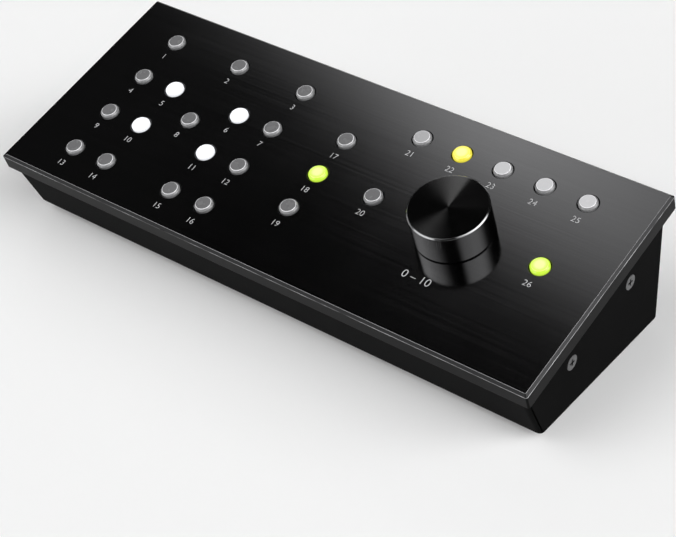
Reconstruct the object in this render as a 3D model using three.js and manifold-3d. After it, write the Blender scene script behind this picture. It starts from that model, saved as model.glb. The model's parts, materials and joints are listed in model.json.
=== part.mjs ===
// Desktop monitor remote: a wedge housing of folded sheet steel under a tilted metal plate, with
// twenty-six lit round buttons and one turned knob. Millimetres, +X right, +Y back, +Z up, with
// the origin on the table under the middle of the remote.
import * as THREE from 'three';
import { mergeVertices } from 'three/addons/utils/BufferGeometryUtils.js';
import Module from 'manifold-3d';

const wasm = await Module();
wasm.setup();

// Clearances
const seatGap = 0.3;
const runGap = 0.35;
const overrun = 4;
const weldTolerance = 1e-5;

// Layout of the controls on the plate, seen square on: columns run along X, rows up the slope
const leftMargin = 26.2;
const rightMargin = 25.5;
const frontMargin = 16.5;
const rearMargin = 17.1;
const columnPitch = 17.04;
const rowPitch = 21.34;
const blockToMiddle = 30.7;
const middleToSources = 26.2;
const middlePitch = 18.3;
const sourcePitch = 18.29;
const columnSteps = 4;
const rowSteps = 3;
const sourceSteps = 4;

// Top plate
const plateFace = 2.5;
const plateLip = 7.1;
const plateChamfer = 1.1;
const plateCorner = 0.8;
const pocketCorner = 2.4;
const plateTilt = THREE.MathUtils.degToRad(15.84);
const frontEdgeHeight = 32.7;
const studRadius = 1.5;
const studPast = 0.6;

// Folded tray
const sheet = 1.5;
const sideOverhang = 2.1;
const rearOverhang = 3.4;
const floorHeight = 3.85;
const frontBottomSetback = 13.6;
const frontLean = THREE.MathUtils.degToRad(24.45);
const bendRadius = 2.1;
const cornerRadius = 2.4;
const seamWidth = 0.45;
const seamInset = 1.2;

// Rubber feet
const footRadius = 6;
const footFlare = 0.8;
const footInsetX = 16;
const footInsetY = 13;

// Buttons
const capRadius = 3.7;
const capTopRadius = 3.0;
const capRise = 1.3;
const capShoulder = 0.5;
const capTravel = 0.5;
const capFlangeLip = 0.8;
const capFlangeThick = 0.8;
const capStemRadius = 1.7;
const holeChamfer = 0.25;

// Switches and the board that carries them
const switchWidth = 7;
const switchHeight = 4;
const switchWellDepth = 3.2;
const boardThick = 1.6;
const boardEdge = 5;
const boardSideClear = 0.6;
const spacerAcross = 5.5;
const nutAcross = 5.5;
const nutHeight = 2.4;

// Side brackets and side screws
const bracketSheet = 2;
const bracketReach = 12;
const bracketPast = 10;
const bracketDrop = 22.5;
const bracketStudInset = 5;
const screwFrontV = 28.3;
const screwSpacing = 39.1;
const screwDrop = 17.15;
const screwShankRadius = 1.5;
const screwHeadRadius = 3.0;
const screwLength = 9;
const screwHeadLand = 0.15;
const recessDepth = 1.2;
const recessSpan = 3.4;
const recessArm = 0.8;

// Rotary encoder
const encoderWidth = 13;
const encoderDepth = 14;
const encoderFloor = 1.5;
const bushingRadius = 4.5;
const bushingPast = 1.2;
const shaftRadius = 3;
const shaftFlat = 0.6;
const shaftShy = 0.5;
const washerRadius = 6.6;
const washerThick = 0.6;
const encoderNutAcross = 12;
const encoderNutHeight = 2.2;

// Knob
const knobRadius = 15.17;
const knobLift = 0.4;
const knobHeight = 12.8;
const knobEdge = 0.45;
const knobFootEdge = 0.2;
const knobCrown = 2.4;
const insertInset = 0.4;
const insertRecessGap = 1.2;
const insertWall = 2.44;
const insertRoof = 0.6;

// USB socket at the back and its board
const socketWidth = 12;
const socketHeight = 10.9;
const socketDepth = 16;
const socketWall = 0.9;
const socketSideWall = 1.7;
const socketBack = 3;
const socketTongueWidth = 5.6;
const socketTongueHeight = 3.2;
const socketTongueShy = 1.6;
const socketCorner = 1.5;
const usbBoardWidth = 32;
const usbBoardDepth = 26;
const usbBoardShy = 1;
const usbStandoffHeight = 5;
const usbStandoffAcross = 5.5;
const usbStandoffInset = 4;
const usbScrewRadius = 1.25;
const usbScrewHeadRadius = 2.3;
const usbScrewHeadHeight = 1.6;
const usbScrewLength = 6;

// Ribbon between the boards
const ribbonWidth = 12;
const ribbonThick = 0.8;
const ribbonBow = 12;
const plugWidth = 14;
const plugDepth = 5;
const plugHeight = 4.5;
const plugInset = 2.4;

// Facet counts
const capSides = 12;
const holeSides = 16;
const wellSides = 10;
const knobSides = 48;
const turnedSides = 20;
const smallSides = 12;
const cornerSteps = 4;
const bendSteps = 3;
const ribbonSteps = 14;

// A hexagon's corner radius as a share of its width across the flats
const hexCornerShare = 1 / Math.sqrt(3);

// Sizes worked out from the ones above
const plateWidth = leftMargin + columnSteps * columnPitch + blockToMiddle + middleToSources
  + sourceSteps * sourcePitch + rightMargin;
const plateDepth = frontMargin + rowSteps * rowPitch + rearMargin;
const cosTilt = Math.cos(plateTilt);
const sinTilt = Math.sin(plateTilt);
const rearLipY = plateDepth * cosTilt + (plateLip - plateChamfer) * sinTilt;
const frontEdgeY = -rearLipY / 2;
const plateOriginY = frontEdgeY - plateChamfer * sinTilt;
const plateOriginZ = frontEdgeHeight + plateChamfer * cosTilt;

const columnX = (column) => -plateWidth / 2 + leftMargin + column * columnPitch;
const rowV = (row) => frontMargin + row * rowPitch;
const middleX = columnX(columnSteps) + blockToMiddle;
const middleV = rowV(rowSteps / 2);
const sourceX = (index) => middleX + middleToSources + index * sourcePitch;
const knobX = sourceX(sourceSteps / 2);

const trayHalf = plateWidth / 2 - sideOverhang;
const trayFrontY = frontEdgeY + frontBottomSetback;
const trayRearY = -frontEdgeY - rearOverhang;
const innerHalf = trayHalf - sheet;

const holeRadius = capRadius + runGap;
const flangeTop = -plateFace - seatGap;
const flangeBottom = flangeTop - capFlangeThick;
const switchTop = flangeBottom - capTravel - seatGap;
const boardTop = switchTop - switchHeight;
const boardBottom = boardTop - boardThick;
const wellRadius = capStemRadius + seatGap;
const wellFloor = switchTop - switchWellDepth;
const stemEnd = wellFloor + capTravel + seatGap;
const boardNutTop = boardBottom - seatGap;
const boardNutBottom = boardNutTop - nutHeight;
const studEnd = boardNutBottom - studPast;

const bracketTop = -plateFace - seatGap;
const bracketShelf = bracketTop - bracketSheet;
const bracketOuter = innerHalf - seatGap;
const bracketInner = bracketOuter - bracketSheet;
const screwRearV = screwFrontV + screwSpacing;
const bracketFrontV = screwFrontV - bracketPast;
const bracketRearV = screwRearV + bracketPast;
const studX = bracketInner - (bracketReach - bracketSheet) / 2;
const studVs = [bracketFrontV + bracketStudInset, bracketRearV - bracketStudInset];
const boardHalf = bracketInner - boardSideClear;
const boardFrontV = rowV(0) - switchWidth / 2 - boardEdge;
const boardRearV = rowV(rowSteps) + switchWidth / 2 + boardEdge;
const upperPlugV = boardRearV - plugInset - plugDepth / 2;

const encoderTop = -plateFace - seatGap;
const encoderBottom = boardTop + seatGap;
const washerTop = seatGap + washerThick;
const encoderNutTop = washerTop + seatGap + encoderNutHeight;
const bushingTop = encoderNutTop + bushingPast;
const bushingBore = shaftRadius + seatGap;
const knobTop = knobLift + knobHeight;
const cavityTop = knobTop - knobCrown;
const insertBottom = knobLift + insertInset;
const insertTop = cavityTop - seatGap;
const recessTop = bushingTop + insertRoof;
const insertRecessRadius = encoderNutAcross * hexCornerShare + insertRecessGap;
const insertRadius = insertRecessRadius + insertWall;
const cavityRadius = insertRadius + seatGap;
const shaftTop = insertTop - shaftShy;

const floorTop = floorHeight + sheet;
const usbStandoffBottom = floorTop + seatGap;
const usbBoardBottom = usbStandoffBottom + usbStandoffHeight + seatGap;
const usbBoardTop = usbBoardBottom + boardThick;
const usbBoardRearY = trayRearY - sheet - usbBoardShy;
const usbBoardFrontY = usbBoardRearY - usbBoardDepth;
const socketBottom = usbBoardTop + seatGap;
const socketTop = socketBottom + socketHeight;
const usbStandoffY = usbBoardFrontY + usbStandoffInset;
const usbStandoffX = usbBoardWidth / 2 - usbStandoffInset;
const usbHoleRadius = usbScrewRadius + seatGap;
const usbPlugY = usbBoardFrontY + plugDepth;

// The place of a point of the plate's slope, given up the slope and out of the plate
function slopeToRow(v, w) {
  return {
    y: plateOriginY + v * cosTilt - w * sinTilt,
    z: plateOriginZ + v * sinTilt + w * cosTilt,
  };
}

// A closed geometry as a solid with its faces pointing out
function toSolid(geometry) {
  const bare = new THREE.BufferGeometry();
  bare.setAttribute('position', geometry.getAttribute('position').clone());
  if (geometry.index) bare.setIndex(geometry.index.clone());
  const merged = mergeVertices(bare, weldTolerance);
  const points = merged.getAttribute('position').array;
  const corners = merged.index.array;
  const triangles = [];
  let volume = 0;
  const a = new THREE.Vector3();
  const b = new THREE.Vector3();
  const c = new THREE.Vector3();
  for (let i = 0; i < corners.length; i += 3) {
    const [p, q, r] = corners.slice(i, i + 3);
    if (p === q || q === r || r === p) continue;
    a.fromArray(points, 3 * p);
    b.fromArray(points, 3 * q);
    c.fromArray(points, 3 * r);
    volume += a.dot(b.cross(c));
    triangles.push([p, q, r]);
  }
  const facing = volume < 0 ? triangles.map(([p, q, r]) => [p, r, q]) : triangles;
  return new wasm.Manifold(new wasm.Mesh({
    numProp: 3,
    vertProperties: new Float32Array(points),
    triVerts: new Uint32Array(facing.flat()),
  }));
}

function toMesh(name, solid, material) {
  const { vertProperties, triVerts } = solid.getMesh();
  const geometry = new THREE.BufferGeometry();
  geometry.setAttribute('position', new THREE.BufferAttribute(vertProperties, 3));
  geometry.setIndex(new THREE.BufferAttribute(triVerts, 1));
  geometry.computeVertexNormals();
  const mesh = new THREE.Mesh(geometry, material());
  mesh.name = name;
  return mesh;
}

const joined = (solids) => solids.reduce((whole, piece) => whole.add(piece));
const cut = (solid, tools) => tools.reduce((rest, tool) => rest.subtract(tool), solid);

// A block between two corners
function block([x0, y0, z0], [x1, y1, z1]) {
  const geometry = new THREE.BoxGeometry(x1 - x0, y1 - y0, z1 - z0);
  geometry.translate((x0 + x1) / 2, (y0 + y1) / 2, (z0 + z1) / 2);
  return geometry;
}

// A profile of [radius, height] points turned about Z
function turned(profile, sides) {
  const points = profile.map(([radius, height]) => new THREE.Vector2(radius, height));
  return new THREE.LatheGeometry(points, sides).rotateX(Math.PI / 2);
}

function rod(radius, bottom, top, sides) {
  return turned([[0, bottom], [radius, bottom], [radius, top], [0, top]], sides);
}

// A six-sided bar by its size across the flats
const hexBar = (across, bottom, top) => rod(across * hexCornerShare, bottom, top, 6);

// A rounded rectangle as one ring of points at a height, walked with the solid on its left
function roundedRing(half, front, rear, radius, height) {
  const ring = [];
  const corners = [
    [half - radius, front + radius, -Math.PI / 2],
    [half - radius, rear - radius, 0],
    [radius - half, rear - radius, Math.PI / 2],
    [radius - half, front + radius, Math.PI],
  ];
  for (const [x, y, start] of corners) {
    for (let i = 0; i <= cornerSteps; i++) {
      const angle = start + (i / cornerSteps) * Math.PI / 2;
      ring.push(new THREE.Vector3(x + radius * Math.cos(angle), y + radius * Math.sin(angle), height));
    }
  }
  return ring;
}

// A closed skin through rings with equal point counts, lowest ring first
function loft(rings) {
  const count = rings[0].length;
  const indices = [];
  for (let level = 0; level < rings.length - 1; level++) {
    for (let i = 0; i < count; i++) {
      const a = level * count + i;
      const b = level * count + (i + 1) % count;
      indices.push(a, b, b + count, a, b + count, a + count);
    }
  }
  const top = (rings.length - 1) * count;
  for (let i = 1; i < count - 1; i++) {
    indices.push(0, i + 1, i);
    indices.push(top, top + i, top + i + 1);
  }
  const geometry = new THREE.BufferGeometry();
  const positions = rings.flat().flatMap((point) => point.toArray());
  geometry.setAttribute('position', new THREE.Float32BufferAttribute(positions, 3));
  geometry.setIndex(indices);
  return geometry;
}

// Finishes
const finish = (color, roughness, metalness) => () => (
  new THREE.MeshStandardMaterial({ color, roughness, metalness, flatShading: true }));
const blackAnodised = finish(0x121214, 0.28, 0.9);
const blackPaint = finish(0x1a1a1c, 0.5, 0.3);
const blackRubber = finish(0x101010, 0.9, 0);
const knobMetal = finish(0x18181b, 0.25, 1);
const darkPlastic = finish(0x202022, 0.6, 0);
const plainSteel = finish(0xa8aaad, 0.35, 1);
const boardGreen = finish(0x1d4a30, 0.6, 0.1);
const ribbonGrey = finish(0x8c8c8c, 0.7, 0);
const unlitCap = finish(0xa9abad, 0.35, 0);
const whiteCap = finish(0xffffff, 0.35, 0);
const greenCap = finish(0xb6f02a, 0.35, 0);
const yellowCap = finish(0xf2d23c, 0.35, 0);

// The buttons: the speaker block, the middle column, and the row and side keys round the knob
const buttons = [
  { x: columnX(0), v: rowV(3), cap: unlitCap },
  { x: columnX(2), v: rowV(3), cap: unlitCap },
  { x: columnX(4), v: rowV(3), cap: unlitCap },
  { x: columnX(0), v: rowV(2), cap: unlitCap },
  { x: columnX(1), v: rowV(2), cap: whiteCap },
  { x: columnX(3), v: rowV(2), cap: whiteCap },
  { x: columnX(4), v: rowV(2), cap: unlitCap },
  { x: columnX(2), v: middleV, cap: unlitCap },
  { x: columnX(0), v: rowV(1), cap: unlitCap },
  { x: columnX(1), v: rowV(1), cap: whiteCap },
  { x: columnX(3), v: rowV(1), cap: whiteCap },
  { x: columnX(4), v: rowV(1), cap: unlitCap },
  { x: columnX(0), v: rowV(0), cap: unlitCap },
  { x: columnX(1), v: rowV(0), cap: unlitCap },
  { x: columnX(3), v: rowV(0), cap: unlitCap },
  { x: columnX(4), v: rowV(0), cap: unlitCap },
  { x: middleX, v: middleV + middlePitch, cap: unlitCap },
  { x: middleX, v: middleV, cap: greenCap },
  { x: middleX, v: middleV - middlePitch, cap: unlitCap },
  { x: sourceX(0), v: middleV, cap: unlitCap },
  { x: sourceX(0), v: rowV(3), cap: unlitCap },
  { x: sourceX(1), v: rowV(3), cap: yellowCap },
  { x: sourceX(2), v: rowV(3), cap: unlitCap },
  { x: sourceX(3), v: rowV(3), cap: unlitCap },
  { x: sourceX(4), v: rowV(3), cap: unlitCap },
  { x: sourceX(4), v: middleV, cap: greenCap },
];

// The tray's front face leans back towards its foot
const trayFrontAt = (z) => trayFrontY - (z - floorHeight) * Math.tan(frontLean);

// Where the tray's inner faces cross the underside of the plate's lip, up the slope
function innerFrontV() {
  const lip = slopeToRow(0, -plateLip);
  const reach = trayFrontAt(lip.z) + sheet / Math.cos(frontLean) - lip.y;
  return reach / (cosTilt + sinTilt * Math.tan(frontLean));
}

function innerRearV() {
  return (trayRearY - sheet - slopeToRow(0, -plateLip).y) / cosTilt;
}

// Top plate: a milled plate with a bevelled edge, a pocket under it and four threaded studs
function topPlate() {
  const half = plateWidth / 2;
  const shell = toSolid(loft([
    roundedRing(half, 0, plateDepth, plateCorner, -plateLip),
    roundedRing(half, 0, plateDepth, plateCorner, -plateChamfer),
    roundedRing(half - plateChamfer, plateChamfer, plateDepth - plateChamfer,
      plateCorner / 2, 0),
  ]));
  const pocket = toSolid(loft([
    roundedRing(innerHalf, innerFrontV(), innerRearV(), pocketCorner, -plateLip - overrun),
    roundedRing(innerHalf, innerFrontV(), innerRearV(), pocketCorner, -plateFace),
  ]));
  const holes = buttons.map(({ x, v }) => toSolid(turned([
    [0, -plateFace - overrun],
    [holeRadius, -plateFace - overrun],
    [holeRadius, -holeChamfer],
    [holeRadius + holeChamfer, 0],
    [holeRadius + holeChamfer, overrun],
    [0, overrun],
  ], holeSides).translate(x, v, 0)));
  const bushingHole = toSolid(rod(bushingRadius + seatGap, -plateFace - overrun, overrun, turnedSides)
    .translate(knobX, middleV, 0));
  const studs = studPlaces().map(([x, v]) => (
    toSolid(rod(studRadius, studEnd, -plateFace / 2, smallSides).translate(x, v, 0))));
  return joined([cut(shell, [pocket, ...holes, bushingHole]), ...studs]);
}

const studPlaces = () => [-studX, studX].flatMap((x) => studVs.map((v) => [x, v]));

// Tray: floor and four folded walls, the front and rear ones wrapped round the corners
function trayRings(inset, bend, corner, bottom, top) {
  const rings = [];
  const lean = inset / Math.cos(frontLean);
  for (let i = 0; i <= bendSteps; i++) {
    const angle = (i / bendSteps) * Math.PI / 2;
    const draw = bend * (1 - Math.sin(angle));
    const z = bottom + bend * (1 - Math.cos(angle));
    rings.push(roundedRing(trayHalf - inset - draw, trayFrontAt(z) + lean + draw,
      trayRearY - inset - draw, Math.max(corner - draw, corner / 4), z));
  }
  rings.push(roundedRing(trayHalf - inset, trayFrontAt(top) + lean, trayRearY - inset, corner, top));
  return rings;
}

// The seams stand where the wrapped front and rear sheets end and the side walls begin
function seamCuts() {
  const cuts = [];
  const length = plateDepth;
  const start = floorHeight + bendRadius;
  for (const side of [-1, 1]) {
    const wall = [side * (innerHalf - sheet / 2), side * (trayHalf + sheet)].sort((a, b) => a - b);
    const slit = () => block([wall[0], 0, 0], [wall[1], seamWidth, length]);
    const front = slit().rotateX(frontLean);
    cuts.push(toSolid(front.translate(0, trayFrontAt(start) + seamInset, start)));
    cuts.push(toSolid(slit().translate(0, trayRearY - seamInset - seamWidth, start)));
  }
  return cuts;
}

function screwHole(side, v) {
  const { y, z } = slopeToRow(v, -screwDrop);
  const shank = screwShankRadius + seatGap;
  const head = screwHeadRadius + seatGap;
  return toSolid(turned([
    [0, -sheet - overrun],
    [shank, -sheet - overrun],
    [shank, shank - head],
    [head, 0],
    [head, overrun],
    [0, overrun],
  ], turnedSides).rotateY(side * Math.PI / 2).translate(side * trayHalf, y, z));
}

function housingTray() {
  const top = slopeToRow(plateDepth, 0).z;
  const inner = Math.max(bendRadius - sheet, seatGap);
  const innerCorner = Math.max(cornerRadius - sheet, seatGap);
  const outside = toSolid(loft(trayRings(0, bendRadius, cornerRadius, floorHeight, top)));
  const inside = toSolid(loft(trayRings(sheet, inner, innerCorner, floorTop, top + overrun)));
  const slope = toSolid(block([-plateWidth, -plateDepth, -plateLip - seatGap],
    [plateWidth, 2 * plateDepth, plateDepth])
    .rotateX(plateTilt).translate(0, plateOriginY, plateOriginZ));
  const socketHole = toSolid(block(
    [-socketWidth / 2 - seatGap, trayRearY - sheet - overrun, socketBottom - seatGap],
    [socketWidth / 2 + seatGap, trayRearY + overrun, socketTop + seatGap]));
  const screwHoles = [-1, 1].flatMap((side) => (
    [screwFrontV, screwRearV].map((v) => screwHole(side, v))));
  return cut(outside, [inside, slope, socketHole, ...seamCuts(), ...screwHoles]);
}

function foot() {
  const top = floorHeight - seatGap;
  return toSolid(turned([[0, 0], [footRadius - footFlare, 0], [footRadius, footFlare],
    [footRadius, top], [0, top]], turnedSides));
}

// Side bracket: an angle under the plate that the side screws thread into
function sideBracket(side) {
  const upright = block([bracketInner, bracketFrontV, -bracketDrop],
    [bracketOuter, bracketRearV, bracketTop]);
  const shelf = block([bracketOuter - bracketReach, bracketFrontV, bracketShelf],
    [bracketOuter, bracketRearV, bracketTop]);
  const screwHoles = [screwFrontV, screwRearV].map((v) => (
    toSolid(rod(screwShankRadius + seatGap, -bracketReach, bracketReach, smallSides)
      .rotateY(Math.PI / 2).translate(bracketOuter, v, -screwDrop))));
  const studHoles = studVs.map((v) => (
    toSolid(rod(studRadius + seatGap, -plateLip - overrun, 0, smallSides).translate(studX, v, 0))));
  const right = cut(joined([toSolid(upright), toSolid(shelf)]), [...screwHoles, ...studHoles]);
  return side > 0 ? right : right.mirror([1, 0, 0]);
}

// Countersunk screw with a cross recess, its head outwards along +Z
function sideScrew() {
  const neck = -screwHeadLand - (screwHeadRadius - screwShankRadius);
  const body = toSolid(turned([[0, -screwLength], [screwShankRadius, -screwLength],
    [screwShankRadius, neck], [screwHeadRadius, -screwHeadLand], [screwHeadRadius, 0], [0, 0]],
  turnedSides));
  const arm = (x, y) => toSolid(block([-x / 2, -y / 2, -recessDepth], [x / 2, y / 2, overrun]));
  return cut(body, [arm(recessSpan, recessArm), arm(recessArm, recessSpan)]);
}

// Button: translucent cap, the flange that keeps it in, and the stem in the switch's well
function buttonCap() {
  return toSolid(turned([
    [0, stemEnd],
    [capStemRadius, stemEnd],
    [capStemRadius, flangeBottom],
    [holeRadius + capFlangeLip, flangeBottom],
    [holeRadius + capFlangeLip, flangeTop],
    [capRadius, flangeTop],
    [capRadius, capShoulder],
    [capTopRadius, capRise],
    [0, capRise],
  ], capSides));
}

// Circuit board with a switch housing under each button and the ribbon's socket below
function switchBoard() {
  const plain = toSolid(block([-boardHalf, boardFrontV, boardBottom], [boardHalf, boardRearV, boardTop]));
  const half = switchWidth / 2;
  const housings = buttons.map(({ x, v }) => toSolid(block(
    [x - half, v - half, boardTop - boardThick / 2], [x + half, v + half, switchTop])));
  const wells = buttons.map(({ x, v }) => (
    toSolid(rod(wellRadius, wellFloor, switchTop + overrun, wellSides).translate(x, v, 0))));
  const studHoles = studPlaces().map(([x, v]) => (
    toSolid(rod(studRadius + seatGap, boardBottom - overrun, boardTop + overrun, smallSides)
      .translate(x, v, 0))));
  const socket = toSolid(block(
    [-plugWidth / 2, upperPlugV - plugDepth / 2, boardBottom - plugHeight],
    [plugWidth / 2, upperPlugV + plugDepth / 2, boardBottom + boardThick / 2]));
  return cut(joined([plain, ...housings, socket]), [...wells, ...studHoles]);
}

function boardSpacer() {
  return cut(toSolid(hexBar(spacerAcross, boardTop + seatGap, bracketShelf - seatGap)),
    [toSolid(rod(studRadius + seatGap, boardTop - overrun, overrun, smallSides))]);
}

function boardNut() {
  return cut(toSolid(hexBar(nutAcross, boardNutBottom, boardNutTop)),
    [toSolid(rod(studRadius + seatGap, boardNutBottom - overrun, overrun, smallSides))]);
}

// Encoder: body on the board, with the threaded bushing that comes up through the plate
function encoderBody() {
  const body = toSolid(block([-encoderWidth / 2, -encoderDepth / 2, encoderBottom],
    [encoderWidth / 2, encoderDepth / 2, encoderTop]));
  const bushing = toSolid(rod(bushingRadius, (encoderBottom + encoderTop) / 2, bushingTop, turnedSides));
  const bore = toSolid(rod(bushingBore, encoderBottom + encoderFloor, bushingTop + overrun, turnedSides));
  return cut(joined([body, bushing]), [bore]);
}

// A round bar with one flat, for the shaft and for the hole that it fits
function flattedRod(radius, flatOffset, bottom, flatFrom, top) {
  const flat = block([flatOffset, -2 * radius, flatFrom],
    [2 * radius + flatOffset, 2 * radius, top + overrun]);
  return cut(toSolid(rod(radius, bottom, top, turnedSides)), [toSolid(flat)]);
}

function encoderShaft() {
  return flattedRod(shaftRadius, shaftRadius - shaftFlat, encoderBottom + encoderFloor + seatGap,
    recessTop, shaftTop);
}

function encoderWasher() {
  return cut(toSolid(rod(washerRadius, seatGap, washerTop, turnedSides)),
    [toSolid(rod(bushingRadius + seatGap, -overrun, washerTop + overrun, turnedSides))]);
}

function encoderNut() {
  return cut(toSolid(hexBar(encoderNutAcross, washerTop + seatGap, encoderNutTop)),
    [toSolid(rod(bushingRadius + seatGap, -overrun, encoderNutTop + overrun, turnedSides))]);
}

// Knob: a turned shell with bevelled edges over a moulded insert that grips the shaft
function knob() {
  return toSolid(turned([
    [0, cavityTop],
    [cavityRadius, cavityTop],
    [cavityRadius, knobLift],
    [knobRadius - knobFootEdge, knobLift],
    [knobRadius, knobLift + knobFootEdge],
    [knobRadius, knobTop - knobEdge],
    [knobRadius - knobEdge, knobTop],
    [0, knobTop],
  ], knobSides));
}

function knobInsert() {
  const plug = toSolid(rod(insertRadius, insertBottom, insertTop, knobSides));
  const recess = toSolid(rod(insertRecessRadius, insertBottom - overrun, recessTop, turnedSides));
  const bore = flattedRod(shaftRadius + seatGap, shaftRadius - shaftFlat + seatGap,
    recessTop - seatGap, recessTop - seatGap, insertTop + overrun);
  return cut(plug, [recess, bore]);
}

// USB socket: a square metal mouth with bevelled upper corners round a tongue
function mouthOutline(width, height, corner) {
  const shape = new THREE.Shape();
  shape.moveTo(-width / 2, 0);
  shape.lineTo(width / 2, 0);
  shape.lineTo(width / 2, height - corner);
  shape.lineTo(width / 2 - corner, height);
  shape.lineTo(corner - width / 2, height);
  shape.lineTo(-width / 2, height - corner);
  shape.closePath();
  return shape;
}

// An outline drawn in X and Z, drawn out along Y from a back face to a front face
function drawnOut(shape, back, front) {
  const geometry = new THREE.ExtrudeGeometry(shape, { depth: front - back, bevelEnabled: false });
  return geometry.rotateX(Math.PI / 2).translate(0, front, 0);
}

function usbSocket() {
  const mouthRear = trayRearY;
  const mouthFront = trayRearY - socketDepth;
  const shell = toSolid(block([-socketWidth / 2, mouthFront, socketBottom],
    [socketWidth / 2, mouthRear, socketTop]));
  const hollow = mouthOutline(socketWidth - 2 * socketSideWall, socketHeight - 2 * socketWall,
    socketCorner);
  const mouth = toSolid(drawnOut(hollow, mouthFront + socketBack, mouthRear + overrun)
    .translate(0, 0, socketBottom + socketWall));
  const tongueMiddle = (socketBottom + socketTop) / 2;
  const tongue = toSolid(block(
    [-socketTongueWidth / 2, mouthFront + socketBack / 2, tongueMiddle - socketTongueHeight / 2],
    [socketTongueWidth / 2, mouthRear - socketTongueShy, tongueMiddle + socketTongueHeight / 2]));
  return joined([cut(shell, [mouth]), tongue]);
}

function usbBoard() {
  const plain = toSolid(block([-usbBoardWidth / 2, usbBoardFrontY, usbBoardBottom],
    [usbBoardWidth / 2, usbBoardRearY, usbBoardTop]));
  const socket = toSolid(block([-plugWidth / 2, usbPlugY - plugDepth / 2, usbBoardTop - boardThick / 2],
    [plugWidth / 2, usbPlugY + plugDepth / 2, usbBoardTop + plugHeight]));
  const holes = [-usbStandoffX, usbStandoffX].map((x) => (
    toSolid(rod(usbHoleRadius, usbBoardBottom - overrun, usbBoardTop + overrun, smallSides)
      .translate(x, usbStandoffY, 0))));
  return cut(joined([plain, socket]), holes);
}

function usbStandoff() {
  return cut(toSolid(hexBar(usbStandoffAcross, usbStandoffBottom, usbBoardBottom - seatGap)),
    [toSolid(rod(usbHoleRadius, floorTop - overrun, usbBoardTop, smallSides))]);
}

function usbScrew() {
  const headBottom = usbBoardTop + seatGap;
  return toSolid(turned([[0, headBottom - usbScrewLength], [usbScrewRadius, headBottom - usbScrewLength],
    [usbScrewRadius, headBottom], [usbScrewHeadRadius, headBottom],
    [usbScrewHeadRadius, headBottom + usbScrewHeadHeight], [0, headBottom + usbScrewHeadHeight]],
  smallSides));
}

// Flat ribbon from the lower socket, bowed forward, up to the socket under the switches
function ribbonCable() {
  const start = new THREE.Vector2(usbPlugY, usbBoardTop + plugHeight + seatGap);
  const upper = slopeToRow(upperPlugV, boardBottom - plugHeight - seatGap);
  const end = new THREE.Vector2(upper.y, upper.z);
  const curve = new THREE.CubicBezierCurve(
    start,
    new THREE.Vector2(start.x, start.y + ribbonBow),
    new THREE.Vector2(end.x + ribbonBow * sinTilt, end.y - ribbonBow * cosTilt),
    end,
  );
  const near = [];
  const far = [];
  for (let i = 0; i <= ribbonSteps; i++) {
    const point = curve.getPoint(i / ribbonSteps);
    const along = curve.getTangent(i / ribbonSteps);
    const across = new THREE.Vector2(-along.y, along.x).multiplyScalar(ribbonThick / 2);
    near.push(point.clone().add(across));
    far.unshift(point.clone().sub(across));
  }
  const shape = new THREE.Shape([...near, ...far]);
  const strip = new THREE.ExtrudeGeometry(shape, { depth: ribbonWidth, bevelEnabled: false });
  return toSolid(strip.translate(0, 0, -ribbonWidth / 2)
    .applyMatrix4(new THREE.Matrix4().set(0, 0, 1, 0, 1, 0, 0, 0, 0, 1, 0, 0, 0, 0, 0, 1)));
}

// Assembly
const remote = new THREE.Group();
remote.add(toMesh('housing_tray', housingTray(), blackPaint));

for (const [end, y] of [['front', trayFrontY + footInsetY], ['rear', trayRearY - footInsetY]]) {
  for (const [hand, side] of [['left', -1], ['right', 1]]) {
    const rubber = toMesh(`foot_${end}_${hand}`, foot(), blackRubber);
    rubber.position.set(side * (trayHalf - footInsetX), y, 0);
    remote.add(rubber);
  }
}

remote.add(toMesh('usb_socket', usbSocket(), plainSteel));
remote.add(toMesh('usb_board', usbBoard(), boardGreen));
remote.add(toMesh('ribbon_cable', ribbonCable(), ribbonGrey));
for (const [hand, side] of [['left', -1], ['right', 1]]) {
  const standoff = toMesh(`usb_standoff_${hand}`, usbStandoff(), plainSteel);
  const screw = toMesh(`usb_screw_${hand}`, usbScrew(), plainSteel);
  for (const piece of [standoff, screw]) {
    piece.position.set(side * usbStandoffX, usbStandoffY, 0);
    remote.add(piece);
  }
}

// Everything that hangs from the tilted plate
const deck = new THREE.Group();
deck.position.set(0, plateOriginY, plateOriginZ);
deck.rotation.x = plateTilt;
remote.add(deck);
deck.add(toMesh('top_plate', topPlate(), blackAnodised));
deck.add(toMesh('switch_board', switchBoard(), boardGreen));

buttons.forEach(({ x, v, cap }, index) => {
  const number = String(index + 1).padStart(2, '0');
  const button = toMesh(`button_cap_${number}`, buttonCap(), cap);
  button.position.set(x, v, 0);
  deck.add(button);
});

for (const [hand, side] of [['left', -1], ['right', 1]]) {
  deck.add(toMesh(`side_bracket_${hand}`, sideBracket(side), plainSteel));
  for (const [end, v] of [['front', screwFrontV], ['rear', screwRearV]]) {
    const screw = toMesh(`side_screw_${hand}_${end}`, sideScrew(), plainSteel);
    screw.position.set(side * trayHalf, v, -screwDrop);
    screw.rotation.y = side * Math.PI / 2;
    deck.add(screw);
  }
  for (const [end, v] of [['front', studVs[0]], ['rear', studVs[1]]]) {
    const spacer = toMesh(`board_spacer_${hand}_${end}`, boardSpacer(), plainSteel);
    const nut = toMesh(`board_nut_${hand}_${end}`, boardNut(), plainSteel);
    for (const piece of [spacer, nut]) {
      piece.position.set(side * studX, v, 0);
      deck.add(piece);
    }
  }
}

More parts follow.
